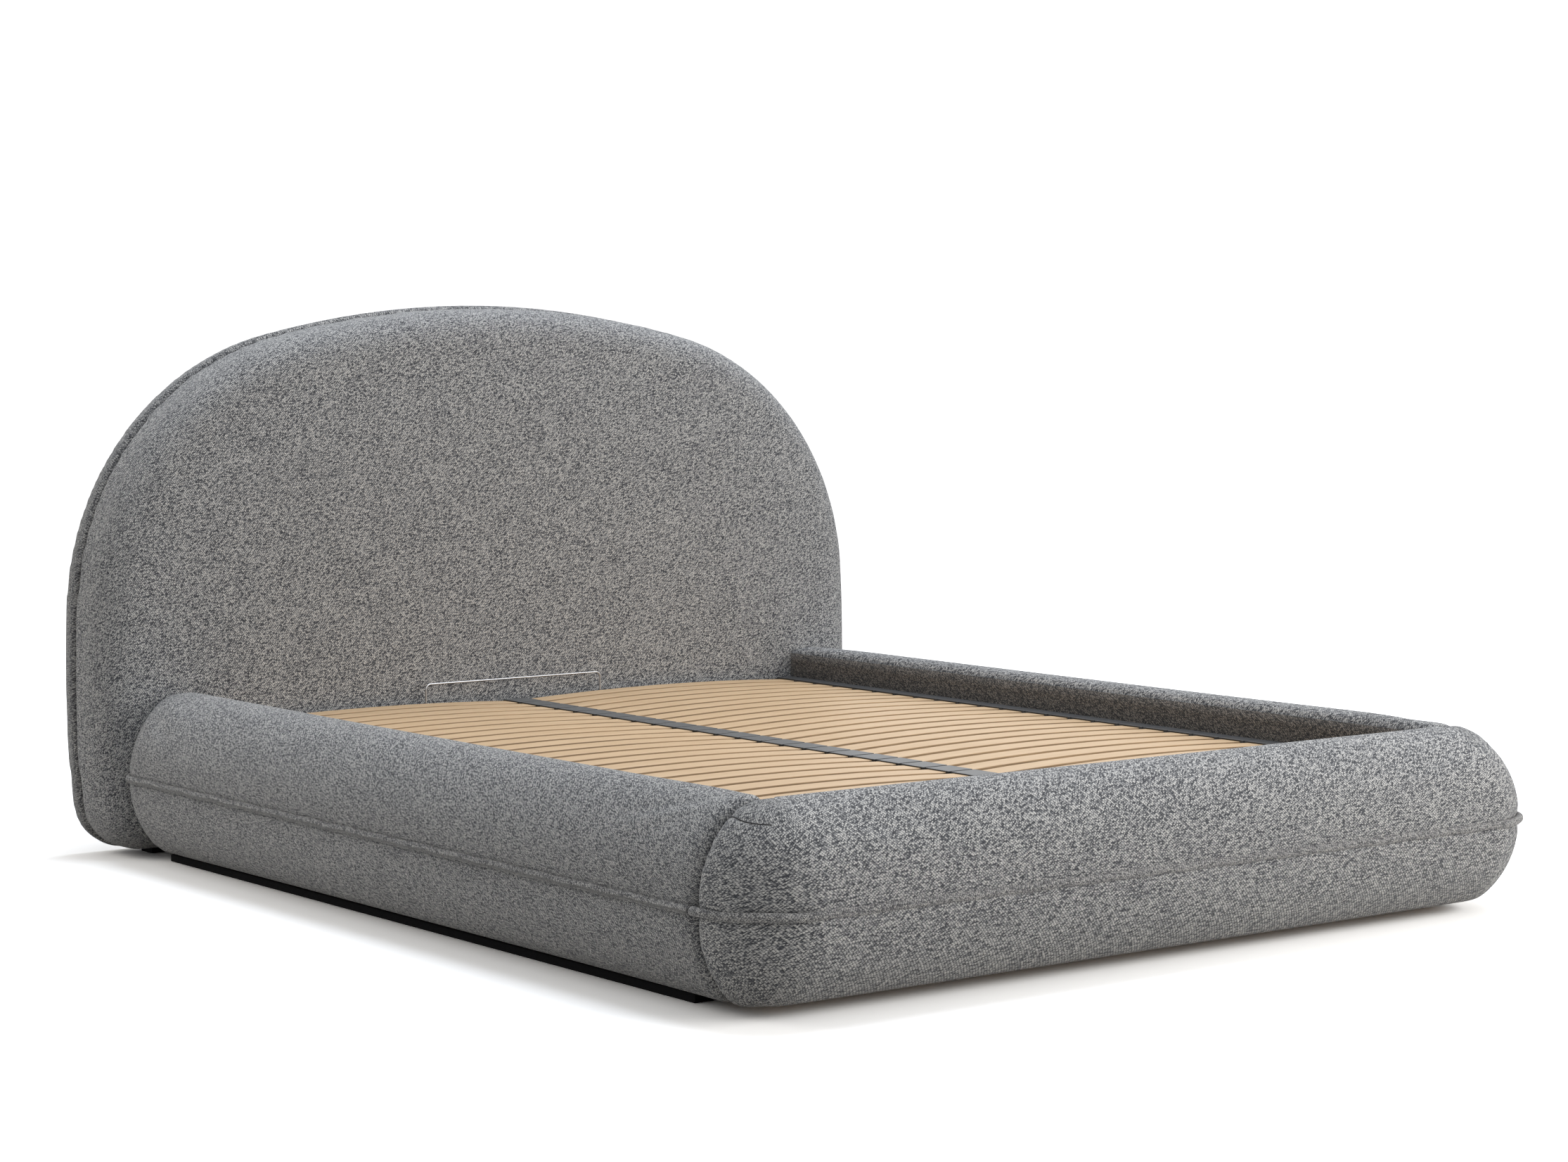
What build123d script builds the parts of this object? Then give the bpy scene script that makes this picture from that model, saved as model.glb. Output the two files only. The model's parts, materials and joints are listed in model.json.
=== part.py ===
from build123d import *
import os
from math import asin, atan2, cos, degrees, pi, radians, sin, sqrt

# An upholstered double bed with a domed headboard, fat round side rails and footboard,
# and a slatted base that lifts at the foot end over a storage box.
# X runs across the bed, Y towards the headboard and Z up. The origin is on the floor,
# under the middle of the whole bed. All sizes are in millimetres.

# Space for the mattress
inner_width = 1620
inner_length = 2060

# Round upholstered rails and footboard
bolster_thick = 162
bolster_top = 363
bolster_under = 15
upper_reach = 135
lower_reach = 103
inner_round = 20
plan_corner = 150
end_round = 50
end_draw = 26
end_shares = (0, 0.2, 0.5, 1)
piping_level = 183
piping_radius = 10
piping_stop = 30
lining_thick = 2
board_thick = 25
board_top = 330
cloth_gap = 0.2

# Headboard
head_half_width = 1015
head_top = 1179
head_thick = 180
head_under = 15
head_top_radius = 2250
head_shoulder_radius = 625
head_side_radius = 3600
dome_level_share = 0.2926
side_draw = 15
corner_level = 105
head_edge_round = 62
head_back_round = 8
seam_from_back = 40
seam_thick = 4
seam_proud = 2.5
foam_side = 30
foam_front = 80
front_board_thick = 16
back_board_thick = 12
back_cloth_thick = 3
back_cloth_inset = 10
rib_depth = 35
post_width = 70
post_place = 560
cross_rail_low = 70
cross_rail_high = 190

# Plinths, floor of the storage box
plinth_width = 64
plinth_head_gap = 40
head_foot_length = 300
head_foot_width = 50
head_foot_place = 710
cleat_width = 30
cleat_height = 18
floor_thick = 6
floor_gap = 4
floor_seam = 2
beam_width = 44
beam_end_gap = 30

# Steel corner brackets and their bolts
bracket_leg = 60
bracket_thick = 4
bracket_low = 75
bracket_high = 185
bolt_radius = 4
bolt_head_radius = 7
bolt_head_thick = 4
bolt_length = 24
bolt_gap = 0.2
bolt_edge = 25

# Lifting frame of steel tube
tube_size = 30
tube_wall = 2
tube_bottom = 242
frame_side_gap = 13
frame_head_gap = 12
frame_foot_gap = 48
cap_thick = 2
cross_tube_height = 20
cross_tube_shares = (0.25, 0.5, 0.75)

# Bent slats and their plastic holders
slat_count = 26
slat_width = 53
slat_thick = 8
slat_crown = 10.5
slat_inner_end = 8
slat_side_gap = 40
slat_edge_round = 1.5
slat_head_gap = 34
slat_foot_gap = 98
holder_gap = 2
centre_holder_half = 30
side_holder_length = 40
holder_lip = 2.2
holder_floor = 3.7
holder_slack = 0.5
holder_top_slack = 2.3
holder_round = 1.5

# Wire stop for the mattress at the head end
stop_half_width = 235
stop_top = 335
stop_wire_radius = 2.25
stop_bend = 12
stop_head_gap = 28

# Pivots of the lifting frame and its gas struts
pivot_from_head = 180
pivot_radius = 6
pivot_gap = 0.08
washer_radius = 13
lever = 220
lever_drop_angle = 7
strut_open_angle = 57
lift_plate_thick = 4
lift_plate_rim = 24
plate_screw_shares = (0.25, 0.5, 0.75)
screw_radius = 3
screw_head_radius = 6
screw_head_thick = 2.5
screw_length = 18
ear_thick = 4
ear_rim = 15
stud_radius = 4
stud_gap = 0.08
stud_end = 2
eye_radius = 9
eye_half_width = 7
cylinder_radius = 11
cylinder_start = 12
cylinder_end = 165
neck_radius = 5
bore_gap = 0.4
bore_start = 18
rod_radius = 4
rod_length = 185
rod_neck_length = 14

# Rests at the foot end and the pull strap
rest_from_foot = 112
rest_length = 60
rest_drop = 60
rest_plate_thick = 4
buffer_height = 5.7
buffer_width = 26
rest_gap = 0.3
rest_screw_shares = (0.25, 0.75)
strap_width = 35
strap_thick = 2.5
strap_drop = 42
strap_bend = 6
strap_place = 60

overrun = 5

# Places that follow from the sizes
half_in = inner_width / 2
half_out = half_in + bolster_thick
whole_length = head_thick + inner_length + bolster_thick + piping_radius
back_face = whole_length / 2
head_face = back_face - head_thick
foot_face = head_face - inner_length
bolster_low_corner = bolster_thick - lower_reach
bolster_crest = bolster_thick - upper_reach
corner_inset = bolster_thick - plan_corner
corner_axis_x = half_out - plan_corner
corner_axis_y = foot_face - corner_inset
seam_face = back_face - seam_from_back
dome_level = head_top * dome_level_share
frame_half_width = half_in - frame_side_gap
frame_length = inner_length - frame_head_gap - frame_foot_gap
tube_top = tube_bottom + tube_size
tube_middle = (tube_bottom + tube_top) / 2
frame_head = head_face - frame_head_gap
frame_foot = frame_head - frame_length
slat_outer_end = half_in - slat_side_gap
slat_row = inner_length - slat_head_gap - slat_width - slat_foot_gap
slat_pitch = slat_row / (slat_count - 1)
holder_length = slat_pitch - holder_gap
side_holder_inner = frame_half_width - side_holder_length
slat_bottom = tube_top + holder_floor + holder_slack
slat_top = slat_bottom + slat_thick
holder_top = slat_top + holder_top_slack + holder_lip
rest_start = frame_foot + rest_from_foot
floor_bottom = bolster_under + cleat_height
pivot_y = head_face - pivot_from_head
strut_x = frame_half_width - tube_size / 2
lever_drop = radians(lever_drop_angle)
anchor_drop = radians(lever_drop_angle + strut_open_angle)
rod_eye_y = pivot_y - lever * cos(lever_drop)
rod_eye_z = tube_middle - lever * sin(lever_drop)
anchor_y = pivot_y - lever * cos(anchor_drop)
anchor_z = tube_middle - lever * sin(anchor_drop)
strut_tilt = degrees(atan2(rod_eye_z - anchor_z, anchor_y - rod_eye_y))


def save(name, *shapes):
    """Writes one node as a file; several solids become a group."""
    solids = [solid for shape in shapes for solid in shape.solids()]
    whole = solids[0] if len(solids) == 1 else Compound(children=solids)
    export_step(whole, f"parts/{name}.step")


def block(x0, x1, y0, y1, z0, z1):
    """A box between two opposite corners."""
    middle = Pos((x0 + x1) / 2, (y0 + y1) / 2, (z0 + z1) / 2)
    return middle * Box(abs(x1 - x0), abs(y1 - y0), abs(z1 - z0))


def bar_x(radius, x0, x1, y, z):
    """A round bar that runs across the bed."""
    return Pos((x0 + x1) / 2, y, z) * Rot(0, 90, 0) * Cylinder(radius, abs(x1 - x0))


def bar_y(radius, x, y0, y1, z):
    """A round bar that runs along the bed."""
    return Pos(x, (y0 + y1) / 2, z) * Rot(90, 0, 0) * Cylinder(radius, abs(y1 - y0))


def mirrored(shape):
    """The same piece on the other side of the bed."""
    return mirror(shape, about=Plane.YZ)


def without(shape, tools):
    """Cuts every tool out of a shape."""
    for tool in tools:
        shape = shape - tool
    return shape


def on_circle(x, y, radius, angle):
    """A point on a circle, the angle in radians from the first axis."""
    return (x + radius * cos(angle), y + radius * sin(angle))


# Rails and footboard

def soft_quarter(u, v, reach, rise):
    """Two touching arcs from the side of a bolster to its crest, or to its underside."""
    way = 1 if rise > 0 else -1
    height = abs(rise)
    tip = reach * reach / height
    side = (reach**2 + (height - tip) ** 2 - tip**2) / (2 * (reach - tip))
    turn = atan2(height - tip, side - reach)
    join = on_circle(u, v + way * (height - tip), tip, way * turn)
    side_middle = on_circle(u + reach - side, v, side, way * turn / 2)
    tip_middle = on_circle(u, v + way * (height - tip), tip, way * (turn + pi / 2) / 2)
    side_arc = ThreePointArc((u + reach, v), side_middle, join)
    tip_arc = ThreePointArc(join, tip_middle, (u, v + rise))
    return side_arc, tip_arc


def bolster_section(draw, start):
    """The round section of a rail: first axis from its inner face, second axis up."""
    top = bolster_top - draw / 2
    under = bolster_under + draw / 2
    outer = bolster_thick - draw
    upper_side, upper_tip = soft_quarter(
        bolster_crest, piping_level, outer - bolster_crest, top - piping_level
    )
    lower_side, lower_tip = soft_quarter(
        bolster_low_corner, piping_level, outer - bolster_low_corner, under - piping_level
    )
    edges = [upper_side, upper_tip, lower_side, lower_tip]
    edges.append(Line((bolster_low_corner, under), (start, under)))
    if start > 0:
        edges.append(Line((start, under), (start, top)))
        edges.append(Line((start, top), (bolster_crest, top)))
        return make_face(edges)
    shoulder = on_circle(inner_round, top - inner_round, inner_round, 3 * pi / 4)
    edges.append(Line((0, under), (0, top - inner_round)))
    edges.append(ThreePointArc((0, top - inner_round), shoulder, (inner_round, top)))
    edges.append(Line((inner_round, top), (bolster_crest, top)))
    return make_face(edges)


def rail_plane(y):
    """A plane across the right rail, its first axis outwards from the inner face."""
    return Plane(origin=(half_in, y, 0), x_dir=(1, 0, 0), z_dir=(0, -1, 0))


def rail_board():
    """The wooden board inside the right rail."""
    x0 = half_in + lining_thick
    y1 = foot_face - lining_thick
    return block(x0, x0 + board_thick, head_face, y1, bolster_under, board_top)


def rail_lining():
    """The flat cloth face on the inner side of the right rail."""
    top = bolster_top - inner_round
    return block(half_in, half_in + lining_thick, head_face, foot_face, bolster_under, top)


def rail_piping(radius):
    """The piping along the outer side of the right rail."""
    return bar_y(radius, half_out, head_face - piping_stop, foot_face, piping_level)


def rail_bolster(hidden):
    """Foam and cloth round the right rail, drawn in where it meets the headboard."""
    sections = []
    for share in end_shares:
        angle = share * pi / 2
        draw = end_draw * (1 - sin(angle))
        plane = rail_plane(head_face - end_round * share)
        sections.append(plane * bolster_section(draw, 0))
    end = loft(sections, ruled=True)
    straight = rail_plane(head_face - end_round) * bolster_section(0, 0)
    run = extrude(straight, amount=inner_length - end_round)
    return without(end + run, hidden)


def foot_plane(x):
    """A plane across the footboard, its first axis outwards from the inner face."""
    return Plane(origin=(x, foot_face, 0), x_dir=(0, -1, 0), z_dir=(-1, 0, 0))


def footboard_board():
    """The wooden board inside the footboard; it covers the ends of the rail boards."""
    reach = half_in + lining_thick + board_thick
    y0 = foot_face - lining_thick
    return block(-reach, reach, y0, y0 - board_thick, bolster_under, board_top)


def footboard_lining():
    """The flat cloth face on the inner side of the footboard."""
    top = bolster_top - inner_round
    return block(-half_in, half_in, foot_face, foot_face - lining_thick, bolster_under, top)


def footboard_piping(radius):
    """The piping round the footboard and its two corners."""
    front = bar_x(radius, -corner_axis_x, corner_axis_x, foot_face - bolster_thick, piping_level)
    side = bar_y(radius, half_out, corner_axis_y, foot_face, piping_level)
    ring = Plane(origin=(half_out, corner_axis_y, piping_level), z_dir=(0, 1, 0)) * Circle(radius)
    turn_axis = Axis((corner_axis_x, corner_axis_y, 0), (0, 0, 1))
    corner = revolve(ring, axis=turn_axis, revolution_arc=-90)
    right = side + corner
    return front + right + mirrored(right)


def footboard_bolster(hidden):
    """Foam and cloth round the footboard, with rounded corners that cover the rail ends."""
    bar = extrude(foot_plane(corner_axis_x) * bolster_section(0, 0), amount=2 * corner_axis_x)
    outer_part = bolster_section(0, corner_inset)
    turn_axis = Axis((corner_axis_x, corner_axis_y, 0), (0, 0, 1))
    start = foot_plane(corner_axis_x) * outer_part
    corner = revolve(start, axis=turn_axis, revolution_arc=90)
    leg = extrude(rail_plane(foot_face) * outer_part, amount=corner_inset)
    right = corner + leg
    return without(bar + right + mirrored(right), hidden)


# Headboard

def arc_between(centre, radius, start, end):
    """An arc round a centre, its angles in radians."""
    angles = (start, (start + end) / 2, end)
    return ThreePointArc(*[on_circle(*centre, radius, angle) for angle in angles])


def dome_centres():
    """The centres of the top, shoulder and side arcs, each arc touching the next."""
    top = Vector(0, head_top - head_top_radius)
    side = Vector(head_half_width - head_side_radius, dome_level)
    apart = (side - top).length
    from_top = head_top_radius - head_shoulder_radius
    from_side = head_side_radius - head_shoulder_radius
    along = (from_top**2 - from_side**2 + apart**2) / (2 * apart)
    across = sqrt(from_top**2 - along**2)
    way = (side - top).normalized()
    shoulder = top + way * along + Vector(-way.Y, way.X) * across
    if shoulder.X < 0:
        shoulder = top + way * along - Vector(-way.Y, way.X) * across
    return top, shoulder, side


def half_dome(inset):
    """The arcs of the right half of the headboard outline, and where they end below."""
    top, shoulder, side = dome_centres()
    top_turn = atan2(shoulder.Y - top.Y, shoulder.X - top.X)
    side_turn = atan2(shoulder.Y - side.Y, shoulder.X - side.X)
    drop = dome_level - corner_level
    low_radius = (drop**2 + side_draw**2) / (2 * side_draw)
    lean = asin(drop / low_radius)
    corner = (corner_level - head_under) / (1 - sin(lean))
    corner_x = head_half_width - side_draw - corner * cos(lean)
    corner_z = corner_level + corner * sin(lean)
    low_centre = (head_half_width - low_radius, dome_level)
    arcs = [
        arc_between((top.X, top.Y), head_top_radius - inset, pi / 2, top_turn),
        arc_between((shoulder.X, shoulder.Y), head_shoulder_radius - inset, top_turn, side_turn),
        arc_between((side.X, side.Y), head_side_radius - inset, side_turn, 0),
        arc_between(low_centre, low_radius - inset, 0, -lean),
        arc_between((corner_x, corner_z), corner - inset, -lean, -pi / 2),
    ]
    return arcs, corner_x


def dome(inset):
    """The outline of the headboard seen from the front, drawn in by an inset."""
    arcs, corner_x = half_dome(inset)
    under = head_under + inset
    base = Line((corner_x, under), (-corner_x, under))
    return make_face([*arcs, *[mirror(arc, about=Plane.YZ) for arc in arcs], base])


def dome_slab(inset, y0, y1):
    """The headboard outline as a slab between two places along the bed."""
    plane = Plane(origin=(0, y0, 0), x_dir=(1, 0, 0), z_dir=(0, -1, 0))
    return extrude(plane * dome(inset), amount=y0 - y1)


def headboard_padding(hidden):
    """Foam and cloth over the front and the sides, with a large soft edge."""
    rim = seam_face - seam_thick / 2
    slab = dome_slab(0, head_face, rim)
    front = slab.faces().sort_by(Axis.Y)[0]
    slab = fillet(front.edges(), head_edge_round)
    pocket = dome_slab(foam_side, head_face + foam_front, rim + overrun)
    return without(slab - pocket, hidden)


def headboard_seam():
    """The folded seam that runs round the headboard near its back."""
    y0 = seam_face - seam_thick / 2
    y1 = seam_face + seam_thick / 2
    hole = dome_slab(foam_side, y0 - overrun, y1 + overrun)
    return dome_slab(-seam_proud, y0, y1) - hole


def headboard_band():
    """The padded strip between the seam and the back of the headboard."""
    y0 = seam_face + seam_thick / 2
    y1 = back_face - back_cloth_thick
    slab = dome_slab(0, y0, y1)
    rear = slab.faces().sort_by(Axis.Y)[-1]
    slab = fillet(rear.edges(), head_back_round)
    return slab - dome_slab(foam_side, y0 - overrun, y1 + overrun)


def headboard_frame():
    """Wooden pieces between the two boards: a curved rib, two posts and a cross rail."""
    y0 = head_face + foam_front + front_board_thick
    y1 = back_face - back_cloth_thick - back_board_thick
    inner = dome_slab(foam_side + rib_depth, y0, y1)
    hole = dome_slab(foam_side + rib_depth, y0 - overrun, y1 + overrun)
    rib = dome_slab(foam_side, y0, y1) - hole
    low = head_under + foam_side + rib_depth
    x0 = post_place - post_width / 2
    x1 = post_place + post_width / 2
    post = block(x0, x1, y0, y1, low, head_top) & inner
    rail = block(-x0, x0, y0, y1, cross_rail_low + rib_depth, cross_rail_high)
    return rib, post, mirrored(post), rail


# Plinths and storage floor

def side_plinth():
    """The black strip that the right rail stands on."""
    x0 = half_in + lining_thick
    y0 = head_face - plinth_head_gap
    return block(x0, x0 + plinth_width, y0, foot_face, 0, bolster_under)


def headboard_foot():
    """One of the two strips that the headboard stands on."""
    x0 = head_foot_place - head_foot_length / 2
    y0 = head_face + foam_front
    return block(x0, x0 + head_foot_length, y0, y0 + head_foot_width, 0, head_under)


def side_cleat():
    """The batten on the right rail that carries the edge of the storage floor."""
    y0 = head_face - bracket_thick - floor_gap
    y1 = foot_face + cleat_width
    return block(half_in - cleat_width, half_in, y0, y1, bolster_under, floor_bottom)


def foot_cleat():
    """The batten on the footboard that carries the end of the storage floor."""
    y1 = foot_face + cleat_width
    return block(-half_in, half_in, foot_face, y1, bolster_under, floor_bottom)


def floor_panel(y0, y1):
    """One panel of the storage floor."""
    reach = half_in - floor_gap
    return block(-reach, reach, y0, y1, floor_bottom, floor_bottom + floor_thick)


def floor_beam():
    """The batten along the middle of the bed that stands on the floor."""
    y0 = head_face - beam_end_gap
    y1 = foot_face + cleat_width
    return block(-beam_width / 2, beam_width / 2, y0, y1, 0, floor_bottom)


# Corner brackets and bolts

def corner_bracket(wall, way):
    """A steel angle in a right corner; way is 1 at the head end and -1 at the foot end."""
    x0 = half_in - bracket_thick
    end = wall - way * bracket_leg
    along = block(x0, half_in, wall, end, bracket_low, bracket_high)
    across_end = wall - way * bracket_thick
    across = block(half_in - bracket_leg, x0, wall, across_end, bracket_low, bracket_high)
    return along + across


def bolt(radius, head_radius, head_thick, length):
    """A bolt that points up, its head under the face that it clamps."""
    head = Pos(0, 0, -head_thick / 2) * Cylinder(head_radius, head_thick)
    shank = Pos(0, 0, length / 2) * Cylinder(radius, length)
    return head + shank


def bolt_hole(radius, head_thick, length):
    """The room for the shank of a bolt that points up."""
    reach = length + bolt_gap
    return Pos(0, 0, reach / 2 - head_thick / 2) * Cylinder(radius + bolt_gap, reach + head_thick)


def corner_bolts(wall, way):
    """The places and lengths of the bolts of one right corner bracket."""
    deep = bracket_thick + foam_front + front_board_thick if way > 0 else bolt_length
    bolts = []
    for level in (bracket_low + bolt_edge, bracket_high - bolt_edge):
        y = wall - way * (bracket_leg - bolt_edge)
        along = Pos(half_in - bracket_thick, y, level) * Rot(0, 90, 0)
        x = half_in - bracket_leg + bolt_edge
        across = Pos(x, wall - way * bracket_thick, level) * Rot(-90 * way, 0, 0)
        bolts.append((along, bolt_length))
        bolts.append((across, deep))
    return bolts


# Lifting frame and slats

def tube_x(x0, x1, y0, y1, z0, z1):
    """An open square tube that runs across the bed."""
    inner = block(x0, x1, y0 + tube_wall, y1 - tube_wall, z0 + tube_wall, z1 - tube_wall)
    return block(x0, x1, y0, y1, z0, z1) - inner


def tube_y(x0, x1, y0, y1, z0, z1):
    """An open square tube that runs along the bed."""
    inner = block(x0 + tube_wall, x1 - tube_wall, y0, y1, z0 + tube_wall, z1 - tube_wall)
    return block(x0, x1, y0, y1, z0, z1) - inner


def side_tube():
    """The right long tube, bored for its pivot pin."""
    x0 = frame_half_width - tube_size
    tube = tube_y(x0, frame_half_width, frame_foot, frame_head, tube_bottom, tube_top)
    reach = frame_half_width + overrun
    return tube - bar_x(pivot_radius + pivot_gap, x0 - overrun, reach, pivot_y, tube_middle)


def tube_caps():
    """Plastic caps on the ends of the right long tube."""
    x0 = frame_half_width - tube_size
    caps = []
    for y0, y1 in ((frame_head, frame_head + cap_thick), (frame_foot - cap_thick, frame_foot)):
        caps.append(block(x0, frame_half_width, y0, y1, tube_bottom, tube_top))
    return caps


def centre_tube():
    """The tube under the middle of the slats."""
    y0 = frame_foot + tube_size
    y1 = frame_head - tube_size
    return tube_y(-tube_size / 2, tube_size / 2, y0, y1, tube_bottom, tube_top)


def end_tube(y1):
    """A tube across the head or the foot end."""
    reach = frame_half_width - tube_size
    return tube_x(-reach, reach, y1 - tube_size, y1, tube_bottom, tube_top)


def cross_tube(share):
    """A flat tube between the middle tube and the right long tube."""
    y1 = frame_head - frame_length * share
    z1 = tube_bottom + cross_tube_height
    reach = frame_half_width - tube_size
    return tube_x(tube_size / 2, reach, y1 - tube_size, y1, tube_bottom, z1)


def slat_place(index):
    """The head end edge of one slat."""
    return head_face - slat_head_gap - slat_pitch * index


def slat():
    """The first slat on the right, bent up in its middle, with soft edges."""
    middle = (slat_inner_end + slat_outer_end) / 2
    y = slat_place(0) - slat_width / 2
    level = slat_bottom + slat_thick / 2
    ends = [(x, y, level) for x in (slat_inner_end, slat_outer_end)]
    route = ThreePointArc(ends[0], (middle, y, level + slat_crown), ends[1])
    start = Plane(origin=route @ 0, x_dir=(0, 1, 0), z_dir=route % 0)
    section = RectangleRounded(slat_width, slat_thick, slat_edge_round)
    return sweep(start * section, path=route)


def holder_pocket(x0, x1):
    """The room for a slat end in a holder."""
    y1 = slat_place(0) + holder_slack
    y0 = slat_place(0) - slat_width - holder_slack
    z0 = tube_top + holder_floor
    return block(x0, x1, y0, y1, z0, slat_top + holder_top_slack)


def holder_block(x0, x1):
    """The body of a slat holder with soft top edges."""
    middle = slat_place(0) - slat_width / 2
    body = block(
        x0, x1, middle - holder_length / 2, middle + holder_length / 2, tube_top, holder_top
    )
    top = body.faces().sort_by(Axis.Z)[-1]
    return fillet(top.edges(), holder_round)


def centre_holder():
    """A double holder over the middle tube."""
    inner = slat_inner_end - holder_slack
    outer = centre_holder_half + overrun
    body = holder_block(-centre_holder_half, centre_holder_half)
    return body - holder_pocket(inner, outer) - holder_pocket(-outer, -inner)


def side_holder():
    """A single holder on the right long tube."""
    body = holder_block(side_holder_inner, frame_half_width)
    return body - holder_pocket(side_holder_inner - overrun, slat_outer_end + holder_slack)


def row_of(first):
    """Repeats a slat or holder along the bed."""
    return [Pos(0, -slat_pitch * index, 0) * first for index in range(slat_count)]


def mattress_stop():
    """The bent wire that keeps the mattress off the headboard."""
    y = head_face - stop_head_gap
    x = stop_half_width
    route = FilletPolyline(
        (-x, y, tube_top), (-x, y, stop_top), (x, y, stop_top), (x, y, tube_top), radius=stop_bend
    )
    start = Plane(origin=(-x, y, tube_top), z_dir=(0, 0, 1)) * Circle(stop_wire_radius)
    return sweep(start, path=route)


# Pivots and gas struts

def plate_face(places, rim, plane):
    """A rounded plate round two or more places."""
    rounds = [Pos(x, y) * Circle(rim) for x, y in places]
    edges = [edge for disc in rounds for edge in disc.edges()]
    return plane * make_hull(edges)


def side_view(x):
    """A plane seen from the left, its first axis towards the headboard."""
    return Plane(origin=(x, 0, 0), x_dir=(0, 1, 0), z_dir=(1, 0, 0))


def lift_plate():
    """The steel plate on the right rail that carries the pivot and the strut."""
    places = ((pivot_y, tube_middle), (anchor_y, anchor_z))
    x0 = half_in - lift_plate_thick
    return extrude(plate_face(places, lift_plate_rim, side_view(x0)), amount=lift_plate_thick)


def screw_places():
    """The screws of the right lift plate and of the right rest bracket."""
    places = []
    for share in plate_screw_shares:
        y = pivot_y + (anchor_y - pivot_y) * share
        z = tube_middle + (anchor_z - tube_middle) * share
        places.append(Pos(half_in - lift_plate_thick, y, z) * Rot(0, 90, 0))
    for share in rest_screw_shares:
        y = rest_start - rest_length * share
        z = tube_bottom - rest_gap - buffer_height - rest_plate_thick - rest_drop / 2
        places.append(Pos(half_in - rest_plate_thick, y, z) * Rot(0, 90, 0))
    return places


def pivot_pin():
    """The right pivot pin, welded to its plate."""
    x0 = frame_half_width - tube_size - stud_end
    return bar_x(pivot_radius, x0, half_in - lift_plate_thick, pivot_y, tube_middle)


def pivot_washer():
    """The plastic washer between the plate and the lifting frame."""
    x0 = frame_half_width + rest_gap
    x1 = half_in - lift_plate_thick
    disc = bar_x(washer_radius, x0, x1, pivot_y, tube_middle)
    return disc - bar_x(pivot_radius + pivot_gap, x0 - overrun, x1 + overrun, pivot_y, tube_middle)


def strut_stud(y, z, x0, x1):
    """A stud that an eye of the strut turns on."""
    return bar_x(stud_radius, x0, x1, y, z)


def lift_ear():
    """The plate under the right long tube that the strut pushes on."""
    x0 = frame_half_width - tube_size - ear_thick
    rise = tube_top - rod_eye_z - ear_rim
    places = ((rod_eye_y - ear_rim, rod_eye_z + rise), (rod_eye_y + ear_rim, rod_eye_z + rise))
    places = places + ((rod_eye_y, rod_eye_z),)
    return extrude(plate_face(places, ear_rim, side_view(x0)), amount=ear_thick)


def strut_way(y, z):
    """Turns a piece drawn upwards so that it runs along the right strut."""
    return Pos(strut_x, y, z) * Rot(90 - strut_tilt, 0, 0)


def strut_eye():
    """The eye at either end of a strut."""
    return Rot(0, 90, 0) * Cylinder(eye_radius, 2 * eye_half_width)


def stud_hole():
    """The hole in a strut's eye."""
    return Rot(0, 90, 0) * Cylinder(stud_radius + stud_gap, 2 * eye_half_width + overrun)


def upright(radius, z0, z1):
    """A round bar that points up."""
    return Pos(0, 0, (z0 + z1) / 2) * Cylinder(radius, z1 - z0)


def strut_cylinder():
    """The right cylinder, from its lower eye up to its open end."""
    neck = upright(neck_radius, 0, cylinder_start)
    barrel = upright(cylinder_radius, cylinder_start, cylinder_end)
    bore = upright(rod_radius + bore_gap, bore_start, cylinder_end + overrun)
    body = strut_eye() + neck + barrel - bore - stud_hole()
    return strut_way(anchor_y, anchor_z) * body


def strut_rod():
    """The right rod, from its upper eye down into the cylinder."""
    neck = upright(neck_radius, -rod_neck_length, 0)
    rod = upright(rod_radius, -rod_length, -rod_neck_length)
    body = strut_eye() + neck + rod - stud_hole()
    return strut_way(rod_eye_y, rod_eye_z) * body


# Rests and strap

def rest_bracket():
    """The right steel shelf that the lifting frame comes down on."""
    y0 = rest_start
    y1 = y0 - rest_length
    shelf_top = tube_bottom - rest_gap - buffer_height
    low = shelf_top - rest_drop
    x0 = half_in - rest_plate_thick
    wall = block(x0, half_in, y0, y1, low, shelf_top)
    shelf_low = shelf_top - rest_plate_thick
    shelf = block(frame_half_width - tube_size, x0, y0, y1, shelf_low, shelf_top)
    return wall + shelf


def rest_buffer():
    """The rubber block on the right shelf."""
    y = rest_start - rest_length / 2
    top = tube_bottom - rest_gap
    half = buffer_width / 2
    return block(strut_x - half, strut_x + half, y - half, y + half, top - buffer_height, top)


def pull_strap():
    """A webbing loop round the foot tube, to lift the base by."""
    y0 = frame_foot - rest_gap
    y1 = frame_foot + tube_size + rest_gap
    z0 = tube_bottom - strap_drop
    z1 = tube_top + rest_gap
    hole = Rectangle(y1 - y0, z1 - z0)
    band = RectangleRounded(y1 - y0 + 2 * strap_thick, z1 - z0 + 2 * strap_thick, strap_bend)
    ring = Pos((y0 + y1) / 2, (z0 + z1) / 2) * (band - hole)
    return extrude(side_view(strap_place - strap_width / 2) * ring, amount=strap_width)


def save_pair(name, *shapes):
    """Writes a right node and its mirrored left node."""
    save(f"{name}_right", *shapes)
    save(f"{name}_left", *[mirrored(shape) for shape in shapes])


def save_both(name, *shapes):
    """Writes right pieces and their mirrored left pieces as one node."""
    save(name, *shapes, *[mirrored(shape) for shape in shapes])


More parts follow.
